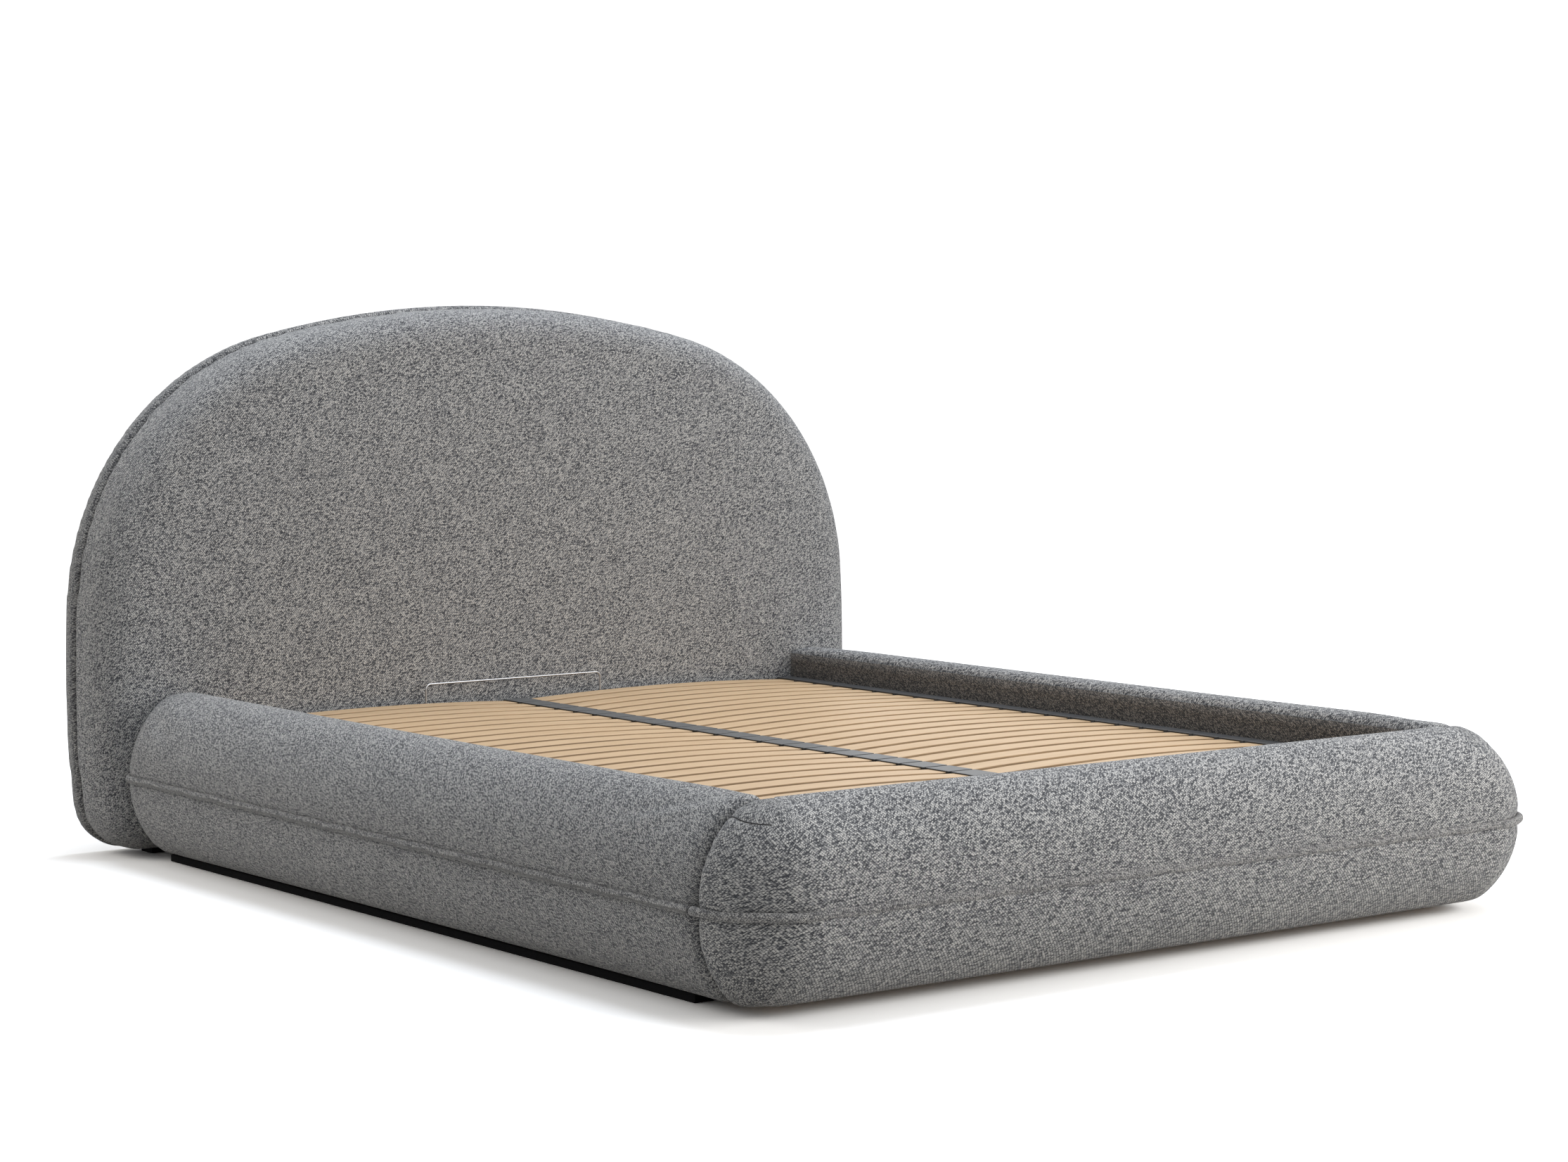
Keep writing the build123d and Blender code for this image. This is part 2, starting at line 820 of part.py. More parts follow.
def fasteners():
    """The bolts and screws of the right side, and the room that they need."""
    bolts = []
    screws = []
    room = []
    for place, length in corner_bolts(head_face, 1) + corner_bolts(foot_face, -1):
        bolts.append(place * bolt(bolt_radius, bolt_head_radius, bolt_head_thick, length))
        room.append(place * bolt_hole(bolt_radius, bolt_head_thick, length))
    for place in screw_places():
        screws.append(place * bolt(screw_radius, screw_head_radius, screw_head_thick, screw_length))
        room.append(place * bolt_hole(screw_radius, screw_head_thick, screw_length))
    return bolts, screws, room


def build_rails(room):
    """Side rails and footboard."""
    board = rail_board()
    lining = rail_lining()
    groove = rail_piping(piping_radius + cloth_gap)
    save_pair("side_rail_board", without(board, room))
    save_pair("side_rail_lining", without(lining, room))
    save_pair("side_rail_bolster", rail_bolster([board, lining, groove]))
    save_pair("side_rail_piping", rail_piping(piping_radius))
    foot_board = footboard_board()
    foot_lining = footboard_lining()
    foot_groove = footboard_piping(piping_radius + cloth_gap)
    hidden = [board, mirrored(board), foot_board, foot_lining, foot_groove]
    both_rooms = [*room, *[mirrored(hole) for hole in room]]
    save("footboard_board", without(foot_board, both_rooms))
    save("footboard_lining", without(foot_lining, both_rooms))
    save("footboard_bolster", footboard_bolster(hidden))
    save("footboard_piping", footboard_piping(piping_radius))


def build_headboard(room):
    """Headboard and its feet."""
    both_rooms = [*room, *[mirrored(hole) for hole in room]]
    front = head_face + foam_front
    rear = back_face - back_cloth_thick
    front_board = dome_slab(foam_side, front, front + front_board_thick)
    save("headboard_padding", headboard_padding(both_rooms))
    save("headboard_seam", headboard_seam())
    save("headboard_band", headboard_band())
    save("headboard_front_board", without(front_board, both_rooms))
    save("headboard_back_board", dome_slab(foam_side, rear - back_board_thick, rear))
    save("headboard_back_cloth", dome_slab(back_cloth_inset, rear, back_face))
    save("headboard_frame", *headboard_frame())
    save_both("headboard_feet", headboard_foot())


def build_storage():
    """Plinths, battens and the floor of the storage box."""
    middle = (head_face + foot_face) / 2
    save_pair("side_plinth", side_plinth())
    save_pair("side_cleat", side_cleat())
    save("foot_cleat", foot_cleat())
    save("floor_beam", floor_beam())
    save("floor_panel_head", floor_panel(middle + floor_seam / 2, head_face - floor_gap))
    save("floor_panel_foot", floor_panel(foot_face + floor_gap, middle - floor_seam / 2))


def build_fixings(bolts, screws, room):
    """Brackets, plates, pins and rests on the rails."""
    brackets = [corner_bracket(head_face, 1), corner_bracket(foot_face, -1)]
    stud_end_x = strut_x - eye_half_width - stud_end
    plate_x = half_in - lift_plate_thick
    save_both("corner_brackets", *[without(bracket, room) for bracket in brackets])
    save_both("bracket_bolts", *bolts)
    save_both("fixing_screws", *screws)
    save_pair("lift_plate", without(lift_plate(), room))
    save_both("pivot_pins", pivot_pin())
    save_both("pivot_washers", pivot_washer())
    save_both("strut_studs_lower", strut_stud(anchor_y, anchor_z, stud_end_x, plate_x))
    save_both("rest_brackets", without(rest_bracket(), room))
    save_both("rest_buffers", rest_buffer())


def build_lifting_base():
    """The steel frame, its slats and what is fixed to it."""
    tube_x0 = frame_half_width - tube_size
    stud_end_x = strut_x + eye_half_width + stud_end
    save_pair("frame_side_tube", side_tube())
    save_both("frame_tube_caps", *tube_caps())
    save("frame_centre_tube", centre_tube())
    save("frame_head_tube", end_tube(frame_head))
    save("frame_foot_tube", end_tube(frame_foot + tube_size))
    save_both("frame_cross_tubes", *[cross_tube(share) for share in cross_tube_shares])
    save_pair("slats", *row_of(slat()))
    save("centre_holders", *row_of(centre_holder()))
    save_pair("side_holders", *row_of(side_holder()))
    save("mattress_stop", mattress_stop())
    save_both("lift_ears", lift_ear())
    save_both("strut_studs_upper", strut_stud(rod_eye_y, rod_eye_z, tube_x0, stud_end_x))
    save("pull_strap", pull_strap())


def build_struts():
    """The gas struts, each a cylinder and a rod."""
    save_pair("strut_cylinder", strut_cylinder())
    save_pair("strut_rod", strut_rod())


def build_bed():
    """Writes every node of the bed."""
    os.makedirs("parts", exist_ok=True)
    bolts, screws, room = fasteners()
    build_rails(room)
    build_headboard(room)
    build_storage()
    build_fixings(bolts, screws, room)
    build_lifting_base()
    build_struts()


build_bed()
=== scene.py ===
# %% [markdown]
# # A round upholstered bed with a lifting slatted base
# The bed is a domed headboard, two fat side rails and a rounded footboard, all covered in
# one coarse two-tone cloth. Inside lies a steel frame with bent birch slats, which lifts
# at the foot end over a storage box. The construction model already holds every piece at
# its real size, so this notebook loads it first and then dresses it.

# %% Load the construction model
import json
import math
import bmesh
import bpy
import numpy as np
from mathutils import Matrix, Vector
from mathutils.bvhtree import BVHTree
from mathutils.geometry import convex_hull_2d


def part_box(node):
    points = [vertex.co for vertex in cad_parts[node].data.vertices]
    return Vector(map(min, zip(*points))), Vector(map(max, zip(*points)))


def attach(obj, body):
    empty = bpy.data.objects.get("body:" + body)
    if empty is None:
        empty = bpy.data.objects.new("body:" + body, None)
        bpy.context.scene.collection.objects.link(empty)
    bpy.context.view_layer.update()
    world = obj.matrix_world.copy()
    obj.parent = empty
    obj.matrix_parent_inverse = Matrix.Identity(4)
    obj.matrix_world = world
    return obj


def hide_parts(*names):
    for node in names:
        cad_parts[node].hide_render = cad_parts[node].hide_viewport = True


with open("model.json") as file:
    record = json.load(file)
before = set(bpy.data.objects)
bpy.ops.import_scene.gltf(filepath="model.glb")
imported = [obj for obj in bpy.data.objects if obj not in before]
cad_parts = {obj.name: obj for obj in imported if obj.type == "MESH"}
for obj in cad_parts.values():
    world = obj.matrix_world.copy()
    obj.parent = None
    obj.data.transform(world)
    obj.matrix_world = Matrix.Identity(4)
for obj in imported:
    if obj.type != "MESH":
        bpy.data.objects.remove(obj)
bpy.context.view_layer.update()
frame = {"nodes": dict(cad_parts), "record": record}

nodes = frame["nodes"]
scene = bpy.context.scene
scene.view_settings.view_transform = "Standard"

# %% [markdown]
# ## Places taken from the construction model
# Every soft piece has to meet its neighbours, so the planes where they meet are read from
# the model's own boxes and not typed in again.

# %% Read the meeting planes
lining_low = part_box("side_rail_lining_right")[0]
bolster_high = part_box("side_rail_bolster_right")[1]
welt_low, welt_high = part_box("side_rail_piping_right")
foot_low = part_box("footboard_bolster")[0]
padding_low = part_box("headboard_padding")[0]
front_board_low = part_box("headboard_front_board")[0]
cloth_low, cloth_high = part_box("headboard_back_cloth")
seam_low, seam_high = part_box("headboard_seam")

inner_x = lining_low.x
outer_x = bolster_high.x
head_y = padding_low.y
foot_y = lining_low.y
rail_top = bolster_high.z
welt_z = (welt_low.z + welt_high.z) / 2
welt_radius = (welt_high.z - welt_low.z) / 2
corner_radius = 0.150
axis_x = outer_x - corner_radius
axis_y = foot_low.y + corner_radius
both_sides = (("right", 1), ("left", -1))
print("inner width:", 2 * inner_x, "inner length:", head_y - foot_y)

# %% [markdown]
# ## Helpers for materials
# Every finish is a small tree of nodes round one Principled shader. Five helpers keep the
# trees short: they start a material, add a node, and make a ramp, a mix and a bump.

# %% Node helpers
def finish(name, roughness, **constants):
    """A new material with its Principled shader, constants set on the shader's own sockets."""
    made = bpy.data.materials.new(name)
    made.use_nodes = True
    shader = made.node_tree.nodes["Principled BSDF"]
    shader.inputs["Roughness"].default_value = roughness
    for socket, value in constants.items():
        shader.inputs[socket.replace("_", " ")].default_value = value
    return made, made.node_tree, shader


def add(tree, kind, inputs=(), **settings):
    """Adds a node; inputs is a list of (socket, value or output socket)."""
    made = tree.nodes.new("ShaderNode" + kind)
    for key, value in settings.items():
        setattr(made, key, value)
    for socket, value in inputs:
        if isinstance(value, bpy.types.NodeSocket):
            tree.links.new(value, made.inputs[socket])
        else:
            made.inputs[socket].default_value = value
    return made


def ramp(tree, factor, stops):
    """A linear colour ramp from (place, colour) stops."""
    made = add(tree, "ValToRGB", [("Fac", factor)])
    elements = made.color_ramp.elements
    while len(elements) < len(stops):
        elements.new(0.5)
    for element, (place, colour) in zip(elements, stops):
        element.position = place
        element.color = (*colour, 1)
    return made.outputs["Color"]


def mixed(tree, factor, first, second, blend="MIX"):
    """Mixes two colours; each may be a socket or a colour."""
    made = add(tree, "Mix", data_type="RGBA", blend_type=blend)
    for place, value in ((0, factor), (6, first), (7, second)):
        if isinstance(value, bpy.types.NodeSocket):
            tree.links.new(value, made.inputs[place])
        else:
            made.inputs[place].default_value = value if place == 0 else (*value, 1)
    return made.outputs[2]


def bumped(tree, shader, height, distance, strength):
    """Gives the shader a bump from a height socket; the distance is in metres."""
    made = add(tree, "Bump", [("Height", height), ("Distance", distance), ("Strength", strength)])
    tree.links.new(made.outputs["Normal"], shader.inputs["Normal"])


# %% [markdown]
# ## The woven cloth
# The cloth is a coarse twill. Light greige and charcoal yarns cross, so that short slanted
# strokes show up close and a salt and pepper grey shows from further away. An image of
# cloth would be quicker, but noise and cells measured in millimetres stay sharp at any
# distance. The pattern reads an attribute called weave, which gives each point its place
# on the flat cloth, so it runs round the rolls as real cloth does. A stroke's tone adds
# up from its own random yarn, a long slub and a slow change of shade. Its rim is darkened
# with painted shade for the gaps between the yarns.

# %% Cloth materials
sheen = 0.22
stroke_slant = math.radians(38)
stroke_share = 0.46
nudge = 0.6
slub_scale = (80, 300, 1)
shade_scale = 14.0
yarn_weight = 0.64
shade_weight = 0.12
level_low, level_high = 0.50, 1.26
dark_stop, middle_stop, light_stop = 0.14, 0.48, 0.88
yarn_core, yarn_rim = 0.12, 0.62
# Painted shade for the gaps between the yarns.
yarn_gap_painted_shade = (0.09, 0.095, 0.105)
yarn_height = 0.0007


def cloth(name, light, middle, dark, stroke=0.0018):
    """A two-tone twill; stroke is the width of one slanted stroke in metres."""
    made, tree, shader = finish(name, 0.93, Sheen_Weight=sheen, Sheen_Roughness=0.45)
    place = add(tree, "Attribute", attribute_name="weave")
    turned = add(tree, "Mapping", [("Vector", place.outputs["Vector"]),
                                   ("Rotation", (0, 0, stroke_slant)),
                                   ("Scale", (stroke / stroke_share, stroke, 1))],
                 vector_type="TEXTURE")
    shaken = add(tree, "TexNoise", [("Vector", turned.outputs["Vector"]), ("Scale", 0.22),
                                    ("Detail", 1.0)])
    moved = add(tree, "VectorMath", [(0, shaken.outputs["Color"]), (1, (nudge, nudge, 0.0)),
                                     (2, turned.outputs["Vector"])], operation="MULTIPLY_ADD")
    yarns = add(tree, "TexVoronoi", [("Vector", moved.outputs["Vector"]), ("Scale", 1.0),
                                     ("Randomness", 0.4)], voronoi_dimensions="2D")
    picked = add(tree, "SeparateColor", [("Color", yarns.outputs["Color"])])
    drawn = add(tree, "Mapping", [("Vector", place.outputs["Vector"]), ("Scale", slub_scale)])
    slubs = add(tree, "TexNoise", [("Vector", drawn.outputs["Vector"]), ("Scale", 1.0),
                                   ("Detail", 2.0), ("Roughness", 0.6)])
    shades = add(tree, "TexNoise", [("Vector", place.outputs["Vector"]), ("Scale", shade_scale),
                                    ("Detail", 2.0)])
    level = add(tree, "Math", [(0, picked.outputs["Red"]), (1, yarn_weight),
                               (2, slubs.outputs["Fac"])], operation="MULTIPLY_ADD")
    level = add(tree, "Math", [(0, shades.outputs["Fac"]), (1, shade_weight),
                               (2, level.outputs[0])], operation="MULTIPLY_ADD")
    share = add(tree, "MapRange", [("Value", level.outputs[0]), ("From Min", level_low),
                                   ("From Max", level_high)])
    tone = ramp(tree, share.outputs["Result"],
                [(dark_stop, dark), (middle_stop, middle), (light_stop, light)])
    round_yarn = add(tree, "MapRange", [("Value", yarns.outputs["Distance"]),
                                        ("From Min", yarn_core), ("From Max", yarn_rim),
                                        ("To Min", 1.0), ("To Max", 0.0)])
    # Painted shade: each yarn's rim is darkened towards the painted gap shade; the same rim also
    # drives the bump.
    yarn_rim_shade = ramp(tree, round_yarn.outputs["Result"],
               [(0.0, yarn_gap_painted_shade), (0.5, (0.9, 0.9, 0.9)), (0.8, (1, 1, 1))])
    tree.links.new(mixed(tree, 1.0, tone, yarn_rim_shade, "MULTIPLY"), shader.inputs["Base Color"])
    bumped(tree, shader, round_yarn.outputs["Result"], yarn_height, 0.9)
    return made


grey_cloth = cloth("woven_grey_cloth", (0.76, 0.755, 0.74), (0.385, 0.391, 0.403),
                   (0.070, 0.075, 0.088))
welt_cloth = cloth("woven_grey_welt", (0.66, 0.65, 0.63), (0.37, 0.37, 0.375),
                   (0.12, 0.122, 0.13))
lining_cloth = cloth("woven_brown_grey_lining", (0.36, 0.32, 0.28), (0.12, 0.107, 0.095),
                     (0.016, 0.015, 0.015), stroke=0.0017)
edge_cloth = cloth("woven_grey_edge", (0.60, 0.595, 0.585), (0.38, 0.385, 0.395),
                   (0.20, 0.205, 0.215))
# Nearly black: the corner seams' cord is coloured as painted shade for the seam's ditch.
seam_shade_cloth = cloth("seam_cord_painted_shade", (0.05, 0.05, 0.055), (0.025, 0.025, 0.03),
               (0.012, 0.012, 0.014), stroke=0.0008)
print("cloths:", grey_cloth.name, lining_cloth.name)


# %% [markdown]
# ## Wood, steel and plastic
# The slats are thin layers of birch glued together: pale and fine-grained on their faces,
# brown along their sawn edges, where the glue lines show. The slats' grain runs along X,
# so the coordinates are stretched that way. The hidden pieces get plainer finishes of the
# same kind, each with its own grain or grit.

# %% Wood
grain_across, grain_along = 55.0, 1.6
band_scale, band_along = 26.0, 0.25
glue_lines = (3.0, 3.0, 520.0)
glue_line_tone = 0.62


def wood(name, pale, deep, edge, along, roughness=0.5):
    """Grain that runs along an axis (0, 1 or 2), with darker sawn faces."""
    made, tree, shader = finish(name, roughness)
    where = add(tree, "TexCoord")
    stretch = [grain_along if i == along else grain_across for i in range(3)]
    wide = [band_along if i == along else 1.0 for i in range(3)]
    grain_place = add(tree, "Mapping", [("Vector", where.outputs["Object"]), ("Scale", stretch)])
    grain = add(tree, "TexNoise", [("Vector", grain_place.outputs["Vector"]), ("Scale", 3.0),
                                   ("Detail", 5.0), ("Roughness", 0.65)])
    bands_place = add(tree, "Mapping", [("Vector", where.outputs["Object"]), ("Scale", wide)])
    bands = add(tree, "TexNoise", [("Vector", bands_place.outputs["Vector"]),
                                   ("Scale", band_scale), ("Detail", 2.0)])
    tone = ramp(tree, mixed(tree, 0.42, grain.outputs["Color"], bands.outputs["Color"]),
                [(0.36, deep), (0.62, pale)])
    if edge:
        facing = add(tree, "SeparateXYZ", [("Vector", where.outputs["Normal"])])
        sawn = add(tree, "Math", [(0, facing.outputs["Y"])], operation="ABSOLUTE")
        layers_place = add(tree, "Mapping", [("Vector", where.outputs["Object"]),
                                             ("Scale", glue_lines)])
        layers = add(tree, "TexNoise", [("Vector", layers_place.outputs["Vector"]),
                                        ("Scale", 1.0), ("Detail", 2.0)])
        edge_tone = ramp(tree, layers.outputs["Fac"],
                         [(0.35, tuple(glue_line_tone * c for c in edge)), (0.65, edge)])
        share = add(tree, "MapRange", [("Value", sawn.outputs[0]), ("From Min", 0.55),
                                       ("From Max", 0.95)]).outputs["Result"]
        tone = mixed(tree, share, tone, edge_tone)
    tree.links.new(tone, shader.inputs["Base Color"])
    bumped(tree, shader, grain.outputs["Fac"], 0.0002, 0.5)
    return made


birch = wood("laminated_birch", (0.685, 0.49, 0.298), (0.575, 0.39, 0.218),
             (0.58, 0.385, 0.215), 0)
pine = wood("planed_pine", (0.62, 0.44, 0.25), (0.46, 0.29, 0.14), None, 1, 0.6)
print("woods:", birch.name, pine.name)


# %% Panels, metal and plastic
def grained(name, colours, size, roughness, distance, sides=None, **constants):
    """A finish with a fine grain: (dark, light) colours, grain size and bump in metres.

    With sides, the faces that don't look upwards get that colour instead, as painted shade.
    """
    made, tree, shader = finish(name, roughness, **constants)
    where = add(tree, "TexCoord")
    fine = add(tree, "TexNoise", [("Vector", where.outputs["Object"]), ("Scale", 1 / size),
                                  ("Detail", 3.0), ("Roughness", 0.6)])
    wide = add(tree, "TexNoise", [("Vector", where.outputs["Object"]), ("Scale", 9.0),
                                  ("Detail", 2.0)])
    tone = ramp(tree, mixed(tree, 0.35, fine.outputs["Color"], wide.outputs["Color"]),
                [(0.38, colours[0]), (0.62, colours[1])])
    # Painted shade: faces that don't look upwards take the sides colour.
    if sides:
        facing = add(tree, "SeparateXYZ", [("Vector", where.outputs["Normal"])])
        flat = add(tree, "MapRange", [("Value", facing.outputs["Z"]), ("From Min", 0.5),
                                      ("From Max", 0.9)])
        tone = mixed(tree, flat.outputs["Result"], sides, tone)
    tree.links.new(tone, shader.inputs["Base Color"])
    bumped(tree, shader, fine.outputs["Fac"], distance, 0.6)
    return made


chip_board = grained("raw_chip_board", ((0.40, 0.27, 0.15), (0.62, 0.47, 0.30)), 0.004, 0.8,
                     0.0003)
floor_board = grained("dark_floor_board", ((0.055, 0.05, 0.048), (0.085, 0.078, 0.074)), 0.003,
                      0.55, 0.0001)
black_edge = grained("black_edge_strip", ((0.0025, 0.0025, 0.003), (0.006, 0.006, 0.007)), 0.002,
                     0.95, 0.0001, Specular_IOR_Level=0.15)
# The plates' tops keep the grey plastic's colour; their near-black sides are painted shade.
plate_plastic_painted_sides = grained("grey_moulded_plastic_painted_shade_sides", ((0.098, 0.100, 0.102), (0.128, 0.130, 0.131)),
                         0.0012, 0.42, 0.00008, sides=(0.006, 0.006, 0.006))
side_plastic = grained("dark_moulded_plastic", ((0.040, 0.041, 0.044), (0.058, 0.059, 0.062)),
                       0.0012, 0.45, 0.00008)
rubber = grained("black_rubber", ((0.012, 0.012, 0.012), (0.022, 0.022, 0.022)), 0.001, 0.8,
                 0.0001)
powder = grained("black_powder_coat", ((0.018, 0.018, 0.020), (0.032, 0.032, 0.034)), 0.0009,
                 0.5, 0.0001)
bright = grained("bright_drawn_steel", ((0.34, 0.34, 0.35), (0.46, 0.46, 0.47)), 0.0006, 0.30,
                 0.00003, Metallic=1.0)
zinc = grained("zinc_plate", ((0.46, 0.46, 0.44), (0.62, 0.61, 0.58)), 0.004, 0.38, 0.00004,
               Metallic=1.0)
enamel = grained("black_gloss_enamel", ((0.012, 0.012, 0.013), (0.018, 0.018, 0.019)), 0.001,
                 0.22, 0.00002)
webbing = grained("dark_webbing", ((0.02, 0.02, 0.022), (0.075, 0.075, 0.08)), 0.0014, 0.9,
                  0.0004)
dust_cloth = grained("black_dust_cloth", ((0.016, 0.016, 0.018), (0.036, 0.036, 0.038)), 0.0016,
                     0.95, 0.0002, Sheen_Weight=0.1)

finishes = {
    "grey_upholstery": grey_cloth, "grey_piping": welt_cloth, "brown_grey_lining": lining_cloth,
    "black_back_cloth": dust_cloth, "raw_panel": chip_board, "softwood": pine,
    "box_floor": floor_board, "black_plinth": black_edge, "birch_slats": birch,
    "grey_plastic": plate_plastic_painted_sides, "dark_plastic": side_plastic, "rubber_buffer": rubber,
    "webbing": webbing, "black_steel": powder, "bright_steel": bright, "strut_black": enamel,
    "zinc_steel": zinc,
}
for part in frame["record"]["subparts"]:
    mesh = nodes[part["node"]].data
    mesh.materials.clear()
    mesh.materials.append(finishes[part["material_slot"]])
print("finishes:", len(finishes))

# %% [markdown]
# ## Soft pieces: the way they are made
# A padded roll is a closed form that air or foam pushes outwards and its seams hold in. So
# each one starts from a copy of its solid, which is cut into even squares, blown up a
# little as cloth, and made finer. The seams come last, because squares wider than a seam
# would swallow it. The cloth's grain is then laid over it as an attribute.

# %% Helpers for soft pieces
weld_distance = 1e-5
air_pressure = 4.0
last_frame = 20


def points_of(mesh):
    """The vertices of a mesh as rows of x, y, z."""
    flat = np.empty(len(mesh.vertices) * 3)
    mesh.vertices.foreach_get("co", flat)
    return flat.reshape(-1, 3)


def set_points(mesh, points):
    """Writes rows of x, y, z back to a mesh."""
    mesh.vertices.foreach_set("co", points.ravel())
    mesh.update()


def normals_of(mesh):
    """The vertex normals of a mesh."""
    flat = np.empty(len(mesh.vertices) * 3)
    mesh.vertex_normals.foreach_get("vector", flat)
    return flat.reshape(-1, 3)


def applied(piece):
    """Applies a piece's modifiers to its mesh."""
    graph = bpy.context.evaluated_depsgraph_get()
    mesh = bpy.data.meshes.new_from_object(piece.evaluated_get(graph))
    old = piece.data
    piece.modifiers.clear()
    piece.data = mesh
    bpy.data.meshes.remove(old)


def piece_from(name, bm, material, smooth=True):
    """A new object from a bmesh, which it frees."""
    for face in bm.faces:
        face.smooth = smooth
    mesh = bpy.data.meshes.new(name)
    bm.to_mesh(mesh)
    bm.free()
    mesh.materials.append(material)
    made = bpy.data.objects.new(name, mesh)
    scene.collection.objects.link(made)
    return made


def even_copy(name, node, square, material):
    """A copy of a node's solid, its surface cut into even squares."""
    bm = bmesh.new()
    bm.from_mesh(nodes[node].data)
    bmesh.ops.remove_doubles(bm, verts=bm.verts, dist=weld_distance)
    made = piece_from(name, bm, material)
    cut = made.modifiers.new("Squares", "REMESH")
    cut.mode = "VOXEL"
    cut.voxel_size = square
    cut.use_smooth_shade = True
    applied(made)
    return made


def puff(piece, held, most):
    """Blows a piece up as cloth; held vertices stay, and none moves further than most."""
    before = points_of(piece.data)
    group = piece.vertex_groups.new(name="held")
    group.add([int(i) for i in np.nonzero(held)[0]], 1.0, "REPLACE")
    cloth_sim = piece.modifiers.new("Air", "CLOTH")
    settings = cloth_sim.settings
    settings.quality = 3
    settings.vertex_group_mass = "held"
    settings.use_pressure = True
    settings.uniform_pressure_force = air_pressure
    settings.effector_weights.gravity = 0.0
    cloth_sim.collision_settings.use_collision = False
    for number in range(1, last_frame + 1):
        scene.frame_set(number)
    applied(piece)
    scene.frame_set(1)
    piece.vertex_groups.clear()
    move = points_of(piece.data) - before
    length = np.maximum(np.linalg.norm(move, axis=1, keepdims=True), 1e-9)
    set_points(piece.data, before + move * np.minimum(1.0, most / length))
    print(piece.name, "moved at most", round(float(length.max()) * 1000, 1), "mm before the cap")


def finer(piece):
    """One subdivision of a piece's mesh."""
    smooth = piece.modifiers.new("Finer", "SUBSURF")
    smooth.levels = 1
    smooth.render_levels = 1
    applied(piece)
    print(piece.name, "faces:", len(piece.data.polygons))


def relaxed(piece):
    """Evens out the small steps that the squares leave."""
    bm = bmesh.new()
    bm.from_mesh(piece.data)
    for _ in range(2):
        bmesh.ops.smooth_vert(bm, verts=bm.verts, factor=0.5, use_axis_x=True,
                              use_axis_y=True, use_axis_z=True)
    bm.to_mesh(piece.data)
    bm.free()


def lay_weave(piece, across, along):
    """Stores each point's place on the flat cloth, in metres."""
    place = piece.data.attributes.new("weave", "FLOAT_VECTOR", "POINT")
    flat = np.stack([across, along, np.zeros_like(across)], axis=1)
    place.data.foreach_set("vector", flat.astype(np.float32).ravel())


# %% [markdown]
# ## The side rails
# Each rail is a roll with a flat inner side and a thick round outer side. It narrows into a
# tight crease where it meets the footboard, and into a softer one at the headboard. A
# spun section would make the same roll, but the solid's copy keeps the slot for the board.

# %% Side rail rolls
roll_x = inner_x + 0.062
roll_z = 0.190
roll_square = 0.012
roll_puff = 0.004
crease_reach = 0.030
crease_depth = 0.015
ditch_reach = 0.016
ditch_depth = 0.004
board_reach = 0.032
top_free = 0.028
end_reach = 0.012
welt_reach = 0.012
outer_reach = 0.030


def crease_pull(distance):
    """How deep the cloth is drawn in at a distance from a crease."""
    share = np.clip(1 - distance / crease_reach, 0, 1)
    return crease_depth * (1 - np.sqrt(1 - share**2))


def drawn_in(points, distance, centre_x):
    """Pulls points towards the roll's middle line as the distance to a crease falls to 0."""
    pull = crease_pull(distance)
    dx = points[:, 0] - centre_x
    dz = points[:, 2] - roll_z
    length = np.maximum(np.hypot(dx, dz), 1e-6)
    points[:, 0] -= pull * dx / length
    points[:, 2] -= pull * dz / length
    return points


def ditched(points, centre_x, outside):
    """Dips the cloth where it runs into the welt, above and below it."""
    share = np.clip(1 - abs(points[:, 2] - welt_z) / ditch_reach, 0, 1) * outside
    points[:, 0] -= np.sign(centre_x) * ditch_depth * share * share
    return points


def round_place(points, centre_x, sign):
    """The way round the roll, as metres of cloth."""
    turn = np.arctan2(points[:, 2] - roll_z, sign * points[:, 0] - centre_x)
    return turn * corner_radius


def rail_roll(side, sign):
    """One side rail's cloth-covered roll."""
    made = even_copy(f"side_rail_roll_{side}", f"side_rail_bolster_{side}", roll_square,
                     grey_cloth)
    points = points_of(made.data)
    x = sign * points[:, 0]
    held = (x < inner_x + board_reach) & (points[:, 2] < rail_top - top_free)
    held |= points[:, 1] > head_y - end_reach
    held |= points[:, 1] < foot_y + end_reach
    held |= (abs(points[:, 2] - welt_z) < welt_reach) & (x > outer_x - outer_reach)
    puff(made, held, roll_puff)
    relaxed(made)
    finer(made)
    points = points_of(made.data)
    points = drawn_in(points, points[:, 1] - foot_y, sign * roll_x)
    points = ditched(points, sign * roll_x, sign * points[:, 0] > roll_x + 0.03)
    set_points(made.data, points)
    lay_weave(made, points[:, 1] - crease_pull(points[:, 1] - foot_y),
              round_place(points, roll_x, sign))
    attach(made, "bed_frame")
    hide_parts(f"side_rail_bolster_{side}")


for side, sign in both_sides:
    rail_roll(side, sign)

# %% [markdown]
# ## The footboard
# The footboard is the same roll with two rounded corners that close off the ends of the
# rails. Its cloth is held by the board behind it and by the two upright creases, and it
# dips along the welt at mid height.

# %% Footboard roll
face_from_axis = 0.10
nearly_zero = 1e-6

foot_roll = even_copy("footboard_roll", "footboard_bolster", roll_square, grey_cloth)
points = points_of(foot_roll.data)
held = (points[:, 1] > foot_y - board_reach) & (points[:, 2] < rail_top - top_free)
held |= (points[:, 1] > foot_y - end_reach) & (abs(points[:, 0]) > inner_x)
puff(foot_roll, held, roll_puff)
relaxed(foot_roll)
finer(foot_roll)
points = points_of(foot_roll.data)
for side, sign in both_sides:
    near = sign * points[:, 0] > inner_x
    end = points[near]
    points[near] = drawn_in(end, foot_y - end[:, 1], sign * roll_x)


